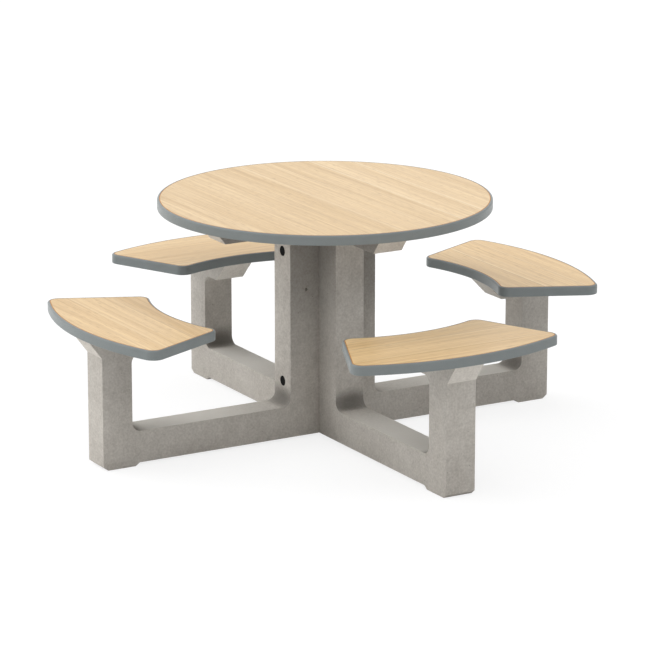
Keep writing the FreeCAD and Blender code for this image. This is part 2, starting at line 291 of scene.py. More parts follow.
# Castings
def rounded_path(corners):
    """Closed anticlockwise path through (u, z, radius) corners: points, normals, lengths and arc marks.

    A corner's arc touches both of its runs: it starts radius * tan(half the turn) before the corner, and its
    normal swings through the turn. Runs are divided evenly.
    """
    corners = np.array(corners, float)
    places, radii = corners[:, :2], corners[:, 2]
    heading = np.roll(places, -1, 0) - places
    heading /= np.linalg.norm(heading, axis=1, keepdims=True)
    arcs = []
    for i in range(len(places)):
        into, out = heading[i - 1], heading[i]
        turn = math.atan2(into[0] * out[1] - into[1] * out[0], into @ out)
        steps = ARC_FILLET if radii[i] > EASED else ARC_EASED
        swing = np.linspace(0, turn, ARC_LEAST + int(abs(turn) * steps))
        first = np.array([into[1], -into[0]])
        fan = np.stack([first[0] * np.cos(swing) - first[1] * np.sin(swing),
                        first[0] * np.sin(swing) + first[1] * np.cos(swing)], -1)
        bend = math.copysign(radii[i], turn)
        start = places[i] - into * radii[i] * math.tan(abs(turn) / 2)
        arcs.append((start - bend * first + bend * fan, fan))
    points, normals, marks = [], [], []
    for (arc, fan), (following, _) in zip(arcs, arcs[1:] + arcs[:1]):
        length = np.linalg.norm(following[0] - arc[-1])
        share = np.linspace(0, 1, 2 + int(length / RUN_STEP))[1:-1, None]
        points += [arc, arc[-1] + share * (following[0] - arc[-1])]
        normals += [fan, np.repeat(fan[-1:], len(share), 0)]
        marks += [np.ones(len(arc), bool), np.zeros(len(share), bool)]
    points, normals, marks = np.concatenate(points), np.concatenate(normals), np.concatenate(marks)
    steps = np.linalg.norm(np.roll(points, -1, 0) - points, axis=1)
    lengths = np.concatenate([[0], np.cumsum(steps)])
    return points, normals, lengths, marks


def length_at(outline, u, z):
    """Length along the outline at the place on it that is nearest to (u, z)."""
    path, _, lengths, _ = outline
    span = np.roll(path, -1, 0) - path
    share = np.clip(((np.array([u, z]) - path) * span).sum(1) / (span ** 2).sum(1), 0, 1)
    gap = np.linalg.norm(path + share[:, None] * span - (u, z), axis=1)
    nearest = gap.argmin()
    return lengths[nearest] + share[nearest] * (lengths[nearest + 1] - lengths[nearest])


def inside(place, loop):
    """True where a ray from the place crosses the loop an odd number of times."""
    after = np.roll(loop, -1, 0)
    spans = (loop[:, 1] > place[1]) != (after[:, 1] > place[1])
    rise = np.where(spans, after[:, 1] - loop[:, 1], 1.0)
    crossing = loop[:, 0] + (place[1] - loop[:, 1]) * (after[:, 0] - loop[:, 0]) / rise
    return np.count_nonzero(spans & (crossing > place[0])) % 2 == 1


def clear_of(holes, place):
    """True where a pit at the place keeps its distance from every hole."""
    return all(np.linalg.norm(place - centre) > radius + PIT_FROM_HOLE for centre, radius, ring in holes)


def scattered(rng, low, high, count, clear):
    """Random places for pits that pass the clear test and keep apart from each other, and their radii."""
    kept = []
    for place in rng.uniform(low, high, (count * PIT_TRIES, 2)):
        near = [np.linalg.norm(place - other) for other in kept]
        if len(kept) < count and clear(place) and min(near, default=math.inf) > PIT_APART:
            kept.append(place)
    return kept, list(rng.uniform(*PIT_RADII, len(kept)) * MM)


def pit_loops(places, reaches):
    """The pits' mouths as flat circles."""
    return [round_loop(place, reach, PIT_SIDES) for place, reach in zip(places, reaches)]


def pit_dents(chart, places, reaches):
    """Air-bubble pits: rings that keep the shares PIT_SHRINK of the radius and sink by PIT_SINK of the depth.

    The depth is the radius times (0.5 + 0.5 a millimetre of radius), so wider pits are deeper in proportion.
    """
    across, along = circle(PIT_SIDES)
    dents = []
    for place, reach in zip(places, reaches):
        a = place[0] + reach * PIT_SHRINK[:, None] * across
        b = place[1] + reach * PIT_SHRINK[:, None] * along
        depth = reach * (0.5 + 0.5 * reach / MM) * PIT_SINK[:, None]
        dents.append(grid_surface(chart(a, b, np.broadcast_to(depth, a.shape))))
    return dents


def arris_radius(rng, lengths):
    """Radius of the worn arris along the outline: a mean plus sines that make whole waves round it."""
    total, travel = lengths[-1], lengths[:-1]
    waves = [np.sin(2 * math.pi * round(total / step) * travel / total + rng.uniform(0, WAVE_SHIFT))
             for step in ARRIS_WAVELENGTHS]
    return ARRIS + ARRIS_WAVE * (sum(waves) / len(waves))


def worn_arris(outline, radius, side):
    """Round edge at one side of the slab: the outline minus normal * inset, where at a lean of a the inset is
    r * (1 - sin a) and the height over the slab's middle is half the thickness - r * (1 - cos a)."""
    path, normals, _, _ = outline
    lean = QUARTER_ROUND[:, None]
    inset = radius * (1 - np.sin(lean))
    height = side * (HALF_SLAB - radius * (1 - np.cos(lean)))
    return grid_surface(np.stack([path[:, 0] - normals[:, 0] * inset, height,
                                  path[:, 1] - normals[:, 1] * inset], -1))


def slab_side(rng, edge, side, pit_count, mouths, face_pits):
    """One flat side of the slab, filled from its edge to its holes and pits. Pits go down into the slab."""
    holes = [round_loop(centre, reach, HOLE_SIDES) for centre, reach in mouths]

    def chart(u, z, depth):
        return np.stack([u, side * (HALF_SLAB - depth), z], -1)

    def clear(place):
        far = np.linalg.norm(edge - place, axis=1).min() > PIT_FROM_EDGE
        return far and clear_of(holes, place) and inside(place, edge)

    found, found_reaches = scattered(rng, edge.min(0), edge.max(0), pit_count, clear)
    places = [np.array(place) for pit_side, place, reach in face_pits if pit_side == side] + found
    reaches = [reach for pit_side, place, reach in face_pits if pit_side == side] + found_reaches
    flat, triangles = filled(edge, holes + pit_loops(places, reaches))
    face = surface(chart(flat[:, 0], flat[:, 1], np.zeros(len(flat))), triangles, smooth=False)
    return [face] + pit_dents(chart, places, reaches)


def slab_runs(rng, outline, radius, pit_count, mouths):
    """The faces round the outline: unrolled to length along it and place across the slab, filled between the
    arrises but for holes and pits, and rolled up again. Ties keep the triangles of a bend in line."""
    path, normals, lengths, marks = outline
    closed = np.hstack([path, normals])[np.append(np.arange(len(path)), 0)]
    holes = [round_loop((length_at(outline, u, z), t), reach, HOLE_SIDES) for u, z, t, reach in mouths]
    bends = np.flatnonzero(marks)

    def chart(s, t, depth):
        u, z, normal_u, normal_z = (np.interp(s, lengths, column) for column in closed.T)
        return np.stack([u - depth * normal_u, t, z - depth * normal_z], -1)

    def clear(place):
        return clear_of(holes, place) and np.abs(lengths[bends] - place[0]).min() > PIT_FROM_BEND

    reach_t = HALF_SLAB - ARRIS - PIT_FROM_ARRIS
    low, high = (PIT_FROM_BEND, -reach_t), (lengths[-1] - PIT_FROM_BEND, reach_t)
    places, reaches = scattered(rng, low, high, pit_count, clear)
    shoulder = np.append(HALF_SLAB - radius, HALF_SLAB - radius[0])
    outer = np.concatenate([np.stack([lengths, -shoulder], -1), np.stack([lengths, shoulder], -1)[::-1]])
    ties = np.stack([bends, len(outer) - 1 - bends], -1).tolist()
    flat, triangles = filled(outer, holes + pit_loops(places, reaches), ties)
    middle = flat[triangles][:, :, 0].mean(1)
    bent = np.append(marks & np.roll(marks, -1), False)
    on_bend = bent[np.searchsorted(lengths, middle, side="right") - 1]
    face = surface(chart(flat[:, 0], flat[:, 1], np.zeros(len(flat))), triangles, smooth=on_bend)
    return [face] + pit_dents(chart, places, reaches)


def casting(corners, side_holes, run_holes, face_pits, seed):
    """A slab swept along its outline, with worn arrises, flat sides, drilled holes and air-bubble pits."""
    rng = np.random.default_rng(seed)
    outline = rounded_path(corners)
    path, normals, lengths, _ = outline
    total = lengths[-1]
    radius = arris_radius(rng, lengths)
    edge = path - normals * radius[:, None]
    stretches = [worn_arris(outline, radius, side) for side in (-1, 1)]
    for side in (-1, 1):
        stretches += slab_side(rng, edge, side, int(total * SIDE_PITS), side_holes, face_pits)
    return stretches + slab_runs(rng, outline, radius, int(total * RUN_PITS), run_holes)


def bolt_tubes(direction):
    """Clearance holes of one arm, sunk into the heads' undersides, and their mouths on the outline's runs."""
    radii = [SINK_RADIUS, SINK_RADIUS, BOLT_HOLE, BOLT_HOLE]
    mouths, walls = [], []
    for low, high, places in ((HEAD_TABLE, BED_TABLE, TABLE_BOLTS), (HEAD_SEAT, BED_SEAT, SEAT_BOLTS)):
        for u, t in places:
            u = direction * u
            mouths += [(u, low, t, SINK_RADIUS), (u, high, t, BOLT_HOLE)]
            axis = [(u, t, z) for z in (low, low + SINK_DEPTH, low + SINK_DEPTH, high)]
            walls.append(tube(axis, radii, (1, 0, 0), (0, 1, 0)))
    return mouths, walls


def main_casting():
    """Full frame: an arm and its mirror image, with blind socket pockets in both sides of its middle post."""
    mirrored = [(-u, z, radius) for u, z, radius in reversed(ARM_CORNERS)]
    right_mouths, right_walls = bolt_tubes(1)
    left_mouths, left_walls = bolt_tubes(-1)
    pocket_mouths = [((0.0, height), SOCKET_RADIUS) for height in FRAME_BOLT_HEIGHTS]
    pockets = []
    for (u, height), radius in pocket_mouths:
        for side in (-1, 1):
            floor_place = (u, side * (HALF_SLAB - SOCKET_DEPTH), height)
            axis = [(u, side * HALF_SLAB, height), floor_place, floor_place]
            pockets.append(tube(axis, [radius, radius, 0], (1, 0, 0), (0, 0, 1)))
    slab = casting(ARM_CORNERS + mirrored, pocket_mouths, right_mouths + left_mouths, [], SEEDS["main"])
    return slab + right_walls + left_walls + pockets


def half_casting(face_pits, seed):
    """Half frame on the +u arm, with a bolt hole and a lipped recess at each height of its inner post."""
    corners = [(HALF_SLAB, RAIL_UNDER, EASED)] + ARM_CORNERS + [(HALF_SLAB, BED_TABLE, EASED)]
    mouths, walls = bolt_tubes(1)
    lip_depth = RECESS_LIP * (1 - np.cos(QUARTER_ROUND))
    lip_width = RECESS_LIP * (1 - np.sin(QUARTER_ROUND))
    stations = np.concatenate([INNER_POST - lip_depth, [RECESS_FLOOR, RECESS_FLOOR, HALF_SLAB]])
    radii = np.concatenate([RECESS_RADIUS + lip_width, [RECESS_RADIUS, FRAME_BOLT_HOLE, FRAME_BOLT_HOLE]])
    for height in FRAME_BOLT_HEIGHTS:
        axis = np.stack([stations, np.zeros(len(stations)), np.full(len(stations), height)], -1)
        walls.append(tube(axis, radii, (0, 0, 1), (0, 1, 0)))
        mouths += [(INNER_POST, height, 0.0, radii[0]), (HALF_SLAB, height, 0.0, FRAME_BOLT_HOLE)]
    return casting(corners, [], mouths, face_pits, seed) + walls


# Boards
def table_rim():
    """Round rim: points at the table's radius, normals straight out."""
    turns = np.linspace(0, 2 * math.pi, TABLE_POINTS, endpoint=False)
    normals = np.stack([np.cos(turns), np.sin(turns)], -1)
    return TABLE_RADIUS * normals, normals


def seat_rim():
    """Rim of the +X seat: a sector of a ring whose corner circles touch the two arcs and the radial sides."""
    far, near = SEAT_OUTER - SEAT_CORNER, SEAT_INNER + SEAT_CORNER
    far_turn = SEAT_HALF_ANGLE - math.asin(SEAT_CORNER / far)
    near_turn = SEAT_HALF_ANGLE - math.asin(SEAT_CORNER / near)
    side = SEAT_HALF_ANGLE + math.pi / 2

    def swept(centre_radius, centre_turn, radius, start, end, count):
        """Arc about a centre given by its distance and turn: centre + radius * normal, from start to end."""
        turns = np.linspace(start, end, count)
        normals = np.stack([np.cos(turns), np.sin(turns)], -1)
        centre = centre_radius * np.array([math.cos(centre_turn), math.sin(centre_turn)])
        return centre + radius * normals, normals

    outer = swept(0, 0, SEAT_OUTER, -far_turn, far_turn, SEAT_OUTER_POINTS)
    far_corner = swept(far, far_turn, SEAT_CORNER, far_turn, side, SEAT_CORNER_POINTS)
    near_corner = swept(near, near_turn, SEAT_CORNER, side, near_turn + math.pi, SEAT_CORNER_POINTS)
    inner_points, inner_normals = swept(0, 0, SEAT_INNER, near_turn, -near_turn, SEAT_INNER_POINTS)
    flip = np.array([1, -1])
    parts = [outer, far_corner, near_corner, (inner_points, -inner_normals)]
    parts += [(points[::-1] * flip, normals[::-1] * flip) for points, normals in (near_corner, far_corner)]
    points = np.concatenate([part[0] for part in parts])
    normals = np.concatenate([part[1] for part in parts])
    same_point = 0.01 * MM
    fresh = np.linalg.norm(points - np.roll(points, 1, 0), axis=1) > same_point
    return points[fresh], normals[fresh]


def edge_moulding(rim, top):
    """Band carried round the rim: its profile's inset goes in along the rim's normal and its drop goes down.

    The profile starts at the board's side and goes up, out over the top round, down, in and back. Points
    close to the rounds keep the flats' shading flat.
    """
    points, normals = rim
    upper, lower = np.linspace(0, math.pi / 2, 7), QUARTER_ROUND
    flat_top, flat_side = 0.3 * MM, 0.4 * MM
    inset = np.concatenate([
        [BAND, BAND, BAND - JOINT_EASE, BAND - JOINT],
        [BAND_TOP_ROUND + flat_top], BAND_TOP_ROUND * (1 - np.sin(upper)),
        [0, 0], BAND_BOTTOM_ROUND * (1 - np.cos(lower)), [BAND_BOTTOM_ROUND + flat_top, BAND]])
    drop = np.concatenate([
        [BOARD_DEPTH / 2, JOINT, JOINT_EASE, 0],
        [0], BAND_TOP_ROUND * (1 - np.cos(upper)),
        [BAND_TOP_ROUND + flat_side, BOARD_DEPTH - BAND_BOTTOM_ROUND - flat_side],
        BOARD_DEPTH - BAND_BOTTOM_ROUND * (1 - np.sin(lower)), [BOARD_DEPTH, BOARD_DEPTH]])
    inset, drop = np.append(inset, inset[0]), np.append(drop, drop[0])
    flat = points[None] - normals[None] * inset[:, None, None]
    height = np.broadcast_to((top - drop)[:, None, None], flat.shape[:2] + (1,))
    return [grid_surface(np.concatenate([flat, height], -1))]


def decor_sheet(rim, top, centre):
    """Sheet inside the band: rings shrinking to the middle on both faces, and a bevel that bares the core."""
    points, normals = rim
    outer = points - normals * BAND
    bevel = points - normals * (BAND + SHEET_BEVEL)
    shrink = SHEET_RINGS[:, None, None]
    cut_level, back_level = top - SHEET_CUT, top - SHEET

    def at(flat, height):
        """Flat points raised to a height."""
        return np.concatenate([flat, np.full(flat.shape[:-1] + (1,), height)], -1)

    face = grid_surface(at(centre + shrink * (bevel - centre), top), smooth=False)
    cut = np.stack([at(bevel, top), at(outer, cut_level), at(outer, back_level)])
    back = grid_surface(at(centre + shrink * (outer - centre), back_level), smooth=False, finish=1)
    return [face, grid_surface(cut, smooth=False, finish=1), back]


# Fasteners
def hexagon_radius(turns, flats):
    """Distance to a hexagon's side: half the flats over the cosine of the turn from the side's middle."""
    return flats / 2 / np.cos(turns % (math.pi / 3) - math.pi / 6)


def revolved(stations, caps, flats=None, count=96):
    """Body of revolution about Z, its radius cut down to a hexagon where flats are given."""
    turns = np.arange(count) * 2 * math.pi / count
    radius = np.repeat(np.asarray(caps, float)[:, None], count, 1)
    if flats is not None:
        radius = np.minimum(radius, hexagon_radius(turns, flats))
    height = np.repeat(np.asarray(stations, float)[:, None], count, 1)
    return np.stack([radius * np.cos(turns), radius * np.sin(turns), height], -1)


def hexagon_bolt(flats, head, shank, length):
    """Bolt pointing up from its bearing face at 0: a hexagon head with a cone, a shank, a chamfered tip."""
    past_corner = flats / math.sqrt(3) + 0.1 * MM
    face = HEAD_FACE * flats / 2
    cone = np.linspace(face, past_corner, HEAD_CONE_POINTS)
    cone_heights = -head + (cone - face) * math.tan(HEAD_CONE)
    stations = [-head, *cone_heights, 0, 0, length - BOLT_TIP, length, length]
    caps = [0, *cone, past_corner, shank, shank, shank - BOLT_TIP, 0]
    return revolved(stations, caps, flats)


def flat_washer(outer, bore, thickness):
    """Ring with slightly rounded outer edges: its profile goes out, up, in and down."""
    ease, slight = WASHER_EASE, WASHER_EASE * 0.3
    stations = [0, 0, slight, ease, thickness - ease, thickness - slight, thickness, thickness, 0]
    caps = [bore, outer - ease, outer - slight, outer, outer, outer - slight, outer - ease, bore, bore]
    return revolved(stations, caps, count=64)


def pointed_inwards(grid):
    """The body of revolution with its axis turned from +Z to -u."""
    return np.stack([-grid[..., 2], grid[..., 1], grid[..., 0]], -1)


# Finishes
def linear(code):
    """Scene-linear colour of an sRGB hex value."""
    values = [int(code[i:i + 2], 16) / 255 for i in (1, 3, 5)]
    return tuple(v / 12.92 if v <= 0.04045 else ((v + 0.055) / 1.055) ** 2.4 for v in values) + (1.0,)


def add(tree, kind, inputs=(), **settings):
    """Adds a node; inputs pair a socket's name or number with a value or with the output that feeds it."""
    made = tree.nodes.new("ShaderNode" + kind)
    for name, value in settings.items():
        setattr(made, name, value)
    for key, value in dict(inputs).items():
        if isinstance(value, bpy.types.NodeSocket):
            tree.links.new(value, made.inputs[key])
        else:
            made.inputs[key].default_value = value
    return made.outputs


def new_material(name):
    """A fresh material, its node tree, and the sockets of its shader."""
    material = bpy.data.materials.new(name)
    material.use_nodes = True
    tree = material.node_tree
    return material, tree, tree.nodes["Principled BSDF"].inputs


# Settings and sockets of a Mix node for colours
MIX = {"data_type": "RGBA"}
FACTOR, FROM, TO, MIXED = 0, 6, 7, 2


def oak_decor():
    """Oak decor laminate, printed and pressed: straight cream and tan streaks of several widths, a pale line
    beside a dark one where a stave ends, fine darker dashes for pores, and a satin face that pales at a low
    angle. The seats' sheets carry a faint warm tint, painted to stand in for the table's shade on them."""
    material, tree, shader = new_material("oak_decor_laminate")
    stave = 118 * MM
    grain = add(tree, "Attribute", attribute_name="grain")["Vector"]
    parts = add(tree, "SeparateXYZ", {0: grain})
    # The staves sway by up to 12 mm, in waves about 0.8 m long and 0.5 m across
    waves = add(tree, "Mapping", {0: grain, 3: (1.3, 2.0, 1.0)})[0]
    sway = add(tree, "TexNoise", {"Vector": waves, "Scale": 1.0, "Detail": 1.0})["Fac"]
    across = add(tree, "Math", {0: sway, 1: 12 * MM, 2: parts["Y"]}, operation="MULTIPLY_ADD")[0]
    place = add(tree, "Math", {0: across, 1: 1 / stave}, operation="MULTIPLY")[0]
    stave_number = add(tree, "Math", {0: place}, operation="FLOOR")[0]
    stave_tone = add(tree, "TexWhiteNoise", {"W": stave_number}, noise_dimensions="1D")["Value"]
    layer = add(tree, "Math", {0: stave_number, 1: 0.37}, operation="MULTIPLY")[0]
    swayed = add(tree, "CombineXYZ", {0: parts["X"], 1: across, 2: layer})[0]
    # Lengths and widths: bands, streaks, and fine lines drawn coarser than real grain so that they show
    sizes = {"broad": (1600 * MM, 42 * MM, 1.5), "middle": (900 * MM, 15 * MM, 1.0),
             "fine": (350 * MM, 6 * MM, 1.0), "pores": (35 * MM, 3 * MM, 0.0)}
    streaks = {}
    for name, (length, width, detail) in sizes.items():
        stretch = add(tree, "Mapping", {0: swayed, 3: (1 / length, 1 / width, 1.0)})[0]
        look = {"Vector": stretch, "Scale": 1.0, "Detail": detail, "Roughness": 0.55}
        streaks[name] = add(tree, "TexNoise", look)["Fac"]
    tone = 0.5
    shares = [(streaks["broad"], 0.3), (streaks["middle"], 0.6), (streaks["fine"], 0.65), (stave_tone, 0.2)]
    for streak, share in shares:
        lift = add(tree, "MapRange", {0: streak, 1: 0.25, 2: 0.75, 3: -share / 2, 4: share / 2})[0]
        tone = add(tree, "Math", {0: lift, 1: tone}, operation="ADD")[0]
    tone = add(tree, "Math", {0: tone, 1: 0.0}, operation="ADD", use_clamp=True)[0]
    colour = add(tree, "Mix", {FACTOR: tone, FROM: linear("#cca974"), TO: linear("#ecd0a4")}, **MIX)[MIXED]
    seam = add(tree, "Math", {0: place}, operation="FRACT")[0]
    pale = add(tree, "MapRange", {0: seam, 1: 3 * MM / stave, 2: 9 * MM / stave, 3: 0.5, 4: 0.0})[0]
    dark = add(tree, "MapRange", {0: seam, 1: 1 - 5 * MM / stave, 2: 1.0, 3: 0.0, 4: 0.5})[0]
    for line, code in ((pale, "#f6e4c6"), (dark, "#a98655")):
        line = add(tree, "Math", {0: line, 1: stave_tone}, operation="MULTIPLY")[0]
        colour = add(tree, "Mix", {FACTOR: line, FROM: colour, TO: linear(code)}, **MIX)[MIXED]
    dash = add(tree, "MapRange", {0: streaks["pores"], 1: 0.6, 2: 0.8, 3: 0.0, 4: 0.45})[0]
    colour = add(tree, "Mix", {FACTOR: dash, FROM: colour, TO: linear("#b08d5e")}, **MIX)[MIXED]
    # Painted shade: a faint warm tint on the seats' sheets, standing in for the table's shade on them
    is_seat = add(tree, "Math", {0: parts["Z"], 1: TABLE_LAYER}, operation="GREATER_THAN")[0]
    seat_shade_tint = {FACTOR: is_seat, FROM: colour, TO: linear("#fffbf2")}
    colour = add(tree, "Mix", seat_shade_tint, blend_type="MULTIPLY", **MIX)[MIXED]
    tree.links.new(colour, shader["Base Color"])
    gloss = add(tree, "MapRange", {0: streaks["fine"], 1: 0.3, 2: 0.7, 3: 0.3, 4: 0.4})[0]
    tree.links.new(gloss, shader["Roughness"])
    relief = add(tree, "Bump", {"Strength": 0.1, "Distance": 0.15 * MM, "Height": streaks["fine"]})[0]
    tree.links.new(relief, shader["Normal"])
    shader["IOR"].default_value = 1.5
    return material


def laminate_cut():
    """Cut edge of the decor laminate: brown resin-soaked paper, a thin orange line round every board."""
    material, tree, shader = new_material("laminate_cut_edge")
    place = add(tree, "TexCoord")["Object"]
    layers = add(tree, "TexNoise", {"Vector": place, "Scale": 1 / (9 * MM), "Detail": 2.0})["Fac"]
    colour = add(tree, "Mix", {FACTOR: layers, FROM: linear("#a5682a"), TO: linear("#d1914a")}, **MIX)[MIXED]
    tree.links.new(colour, shader["Base Color"])
    shader["Roughness"].default_value = 0.6
    return material


def grey_moulding():
    """Polyurethane edge, cast round the board: even mid grey with a faint mould grain and a satin gloss."""
    material, tree, shader = new_material("moulded_grey_polyurethane")
    place = add(tree, "TexCoord")["Object"]
    cloud = add(tree, "TexNoise", {"Vector": place, "Scale": 1 / (60 * MM), "Detail": 3.0})["Fac"]
    grain = add(tree, "TexNoise", {"Vector": place, "Scale": 1 / (2.2 * MM), "Detail": 2.0})["Fac"]
    colour = add(tree, "Mix", {FACTOR: cloud, FROM: linear("#7a8080"), TO: linear("#858b8b")}, **MIX)[MIXED]
    tree.links.new(colour, shader["Base Color"])
    gloss = add(tree, "MapRange", {0: grain, 1: 0.3, 2: 0.7, 3: 0.26, 4: 0.38})[0]
    tree.links.new(gloss, shader["Roughness"])
    relief = add(tree, "Bump", {"Strength": 0.15, "Distance": 0.12 * MM, "Height": grain})[0]
    tree.links.new(relief, shader["Normal"])
    shader["IOR"].default_value = 1.5
    shader["Specular IOR Level"].default_value = 0.25
    return material


def cast_concrete():
    """Fair-faced concrete from a smooth mould: matt, with warm grey clouds, sandy mottling, small pores, and
    painted light and shade by the place on the arm."""
    material, tree, shader = new_material("fair_faced_concrete")
    place = add(tree, "TexCoord")["Object"]
    # Sand grains are about 2 mm; they are drawn at 7 mm so that a render shows them
    sizes = {"cloud": (170 * MM, 3.0, 0.55), "mottle": (26 * MM, 3.0, 0.6), "sand": (7 * MM, 2.0, 0.6)}
    patterns = {}
    for name, (size, detail, roughness) in sizes.items():
        look = {"Vector": place, "Scale": 1 / size, "Detail": detail, "Roughness": roughness}
        patterns[name] = add(tree, "TexNoise", look)["Fac"]
    tone = add(tree, "MapRange", {0: patterns["cloud"], 1: 0.3, 2: 0.7, 3: 0.25, 4: 0.75})[0]
    for name, share in (("mottle", 0.36), ("sand", 0.6)):
        lift = add(tree, "MapRange", {0: patterns[name], 1: 0.3, 2: 0.7, 3: -share / 2, 4: share / 2})[0]
        tone = add(tree, "Math", {0: tone, 1: lift}, operation="ADD", use_clamp=True)[0]
    colour = add(tree, "Mix", {FACTOR: tone, FROM: linear("#aaa49c"), TO: linear("#cac5bd")}, **MIX)[MIXED]
    cells = add(tree, "TexVoronoi", {"Vector": place, "Scale": 1 / (34 * MM), "Randomness": 1.0})["Distance"]
    pore = add(tree, "MapRange", {0: cells, 1: 0.03, 2: 0.055, 3: 0.6, 4: 0.0})[0]
    colour = add(tree, "Mix", {FACTOR: pore, FROM: colour, TO: linear("#5d5852")}, **MIX)[MIXED]
    tree.links.new(painted_light_and_shade(tree, colour), shader["Base Color"])
    gloss = add(tree, "MapRange", {0: patterns["mottle"], 1: 0.3, 2: 0.7, 3: 0.74, 4: 0.9})[0]
    tree.links.new(gloss, shader["Roughness"])
    grit = add(tree, "Math", {0: patterns["sand"], 1: patterns["mottle"]}, operation="ADD")[0]
    relief = add(tree, "Bump", {"Strength": 0.5, "Distance": 0.7 * MM, "Height": grit})[0]
    tree.links.new(relief, shader["Normal"])
    shader["IOR"].default_value = 1.5
    shader["Specular IOR Level"].default_value = 0.25
    return material


def painted_light_and_shade(tree, colour):
    """Colour of the concrete with painted light and shade, by the place on the arm: rail tops painted paler
    outwards as light, the heads' slants painted pale as light from below, painted shade in the rail's
    rounded corners, and painted shade darkening the sides under the table."""
    lit_rail_end, lit_rail_fade = RAIL_HALF - 25 * MM, RAIL_HALF - 55 * MM
    lit_rail_start, lit_rail_full = 220 * MM, 460 * MM
    corner_shade_middle, corner_shade_size = (RAIL_HALF - 8 * MM, 0.0, RAIL_TOP + 20 * MM), (30 * MM, 110 * MM, 48 * MM)
    table_shade_start = 200 * MM

    parts = add(tree, "SeparateXYZ", {0: add(tree, "Attribute", attribute_name="arm")["Vector"]})
    out = add(tree, "Math", {0: parts["X"]}, operation="ABSOLUTE")[0]
    from_rail = add(tree, "Math", {0: out, 1: RAIL_MIDDLE}, operation="SUBTRACT")[0]
    from_rail = add(tree, "Math", {0: from_rail}, operation="ABSOLUTE")[0]
    from_plane = add(tree, "Math", {0: parts["Y"]}, operation="ABSOLUTE")[0]
    on_run = add(tree, "Math", {0: from_plane, 1: HALF_SLAB - 0.3 * ARRIS}, operation="LESS_THAN")[0]
    at_rail = add(tree, "Math", {0: parts["Z"], 1: 2 * RAIL_TOP}, operation="LESS_THAN")[0]
    on_rail = add(tree, "Math", {0: on_run, 1: at_rail}, operation="MULTIPLY")[0]
    under_seat = add(tree, "Math", {0: out, 1: SEAT_INNER}, operation="GREATER_THAN")[0]

    # Painted light: the rail tops paler between the posts, weakest under the table and strongest outwards
    painted_rail_light = add(tree, "MapRange", {0: from_rail, 1: lit_rail_fade, 2: lit_rail_end, 3: 1.0, 4: 0.0})[0]
    rail_light_outwards = add(tree, "MapRange", {0: out, 1: lit_rail_start, 2: lit_rail_full, 3: 0.25, 4: 1.0})[0]
    for share in (on_rail, rail_light_outwards):
        painted_rail_light = add(tree, "Math", {0: painted_rail_light, 1: share}, operation="MULTIPLY")[0]
    colour = add(tree, "Mix", {FACTOR: painted_rail_light, FROM: colour, TO: linear("#e0dcd4")}, **MIX)[MIXED]

    # Painted light: the heads' run faces above their undersides, chiefly the slants, paler as if lit from
    # below
    table_head = add(tree, "Math", {0: parts["Z"], 1: HEAD_TABLE + EASED / 2}, operation="GREATER_THAN")[0]
    seat_head = add(tree, "Math", {0: parts["Z"], 1: HEAD_SEAT + EASED / 2}, operation="GREATER_THAN")[0]
    painted_slant_light = add(tree, "Math", {0: seat_head, 1: under_seat, 2: table_head}, operation="MULTIPLY_ADD")[0]
    for share in (on_run, 0.55):
        painted_slant_light = add(tree, "Math", {0: painted_slant_light, 1: share}, operation="MULTIPLY")[0]
    slant_light_mix = {FACTOR: painted_slant_light, FROM: colour, TO: linear("#7c7974")}
    colour = add(tree, "Mix", slant_light_mix, blend_type="ADD", **MIX)[MIXED]

    # Painted shade: a dark patch in the rail's rounded corners at the posts' feet, fading up the posts
    beside = add(tree, "CombineXYZ", {0: from_rail, 1: parts["Y"], 2: parts["Z"]})[0]
    beside = add(tree, "VectorMath", {0: beside, 1: corner_shade_middle}, operation="SUBTRACT")[0]
    beside = add(tree, "VectorMath", {0: beside, 1: corner_shade_size}, operation="DIVIDE")[0]
    beside = add(tree, "VectorMath", {0: beside}, operation="LENGTH")["Value"]
    fade = {0: beside, 1: 0.2, 2: 1.15, 3: 0.8, 4: 0.0}
    painted_corner_shade = add(tree, "MapRange", fade, interpolation_type="SMOOTHSTEP")[0]
    painted_corner_shade = add(tree, "Math", {0: painted_corner_shade, 1: on_rail}, operation="MULTIPLY")[0]
    colour = add(tree, "Mix", {FACTOR: painted_corner_shade, FROM: colour, TO: linear("#625e58")}, **MIX)[MIXED]

    # Painted shade: the flat sides nearer the middle than the seats darker upwards towards the table
    painted_table_shade = add(tree, "MapRange", {0: parts["Z"], 1: table_shade_start, 2: HEAD_TABLE, 3: 0.0, 4: 0.55})[0]
    for elsewhere in (under_seat, on_run):
        side = add(tree, "Math", {0: 1.0, 1: elsewhere}, operation="SUBTRACT")[0]
        painted_table_shade = add(tree, "Math", {0: painted_table_shade, 1: side}, operation="MULTIPLY")[0]
    return add(tree, "Mix", {FACTOR: painted_table_shade, FROM: colour, TO: linear("#57534e")}, **MIX)[MIXED]


def zinc_steel():
    """Zinc-plated steel: pale metal with a faint uneven bloom in its gloss."""
    material, tree, shader = new_material("zinc_plated_steel")
    place = add(tree, "TexCoord")["Object"]
    bloom = add(tree, "TexNoise", {"Vector": place, "Scale": 1 / (4 * MM), "Detail": 3.0})["Fac"]
    colour = add(tree, "Mix", {FACTOR: bloom, FROM: linear("#b4b7b8"), TO: linear("#d2d3cf")}, **MIX)[MIXED]
    tree.links.new(colour, shader["Base Color"])
    gloss = add(tree, "MapRange", {0: bloom, 1: 0.3, 2: 0.7, 3: 0.3, 4: 0.5})[0]
    tree.links.new(gloss, shader["Roughness"])
    shader["Metallic"].default_value = 1.0
    return material


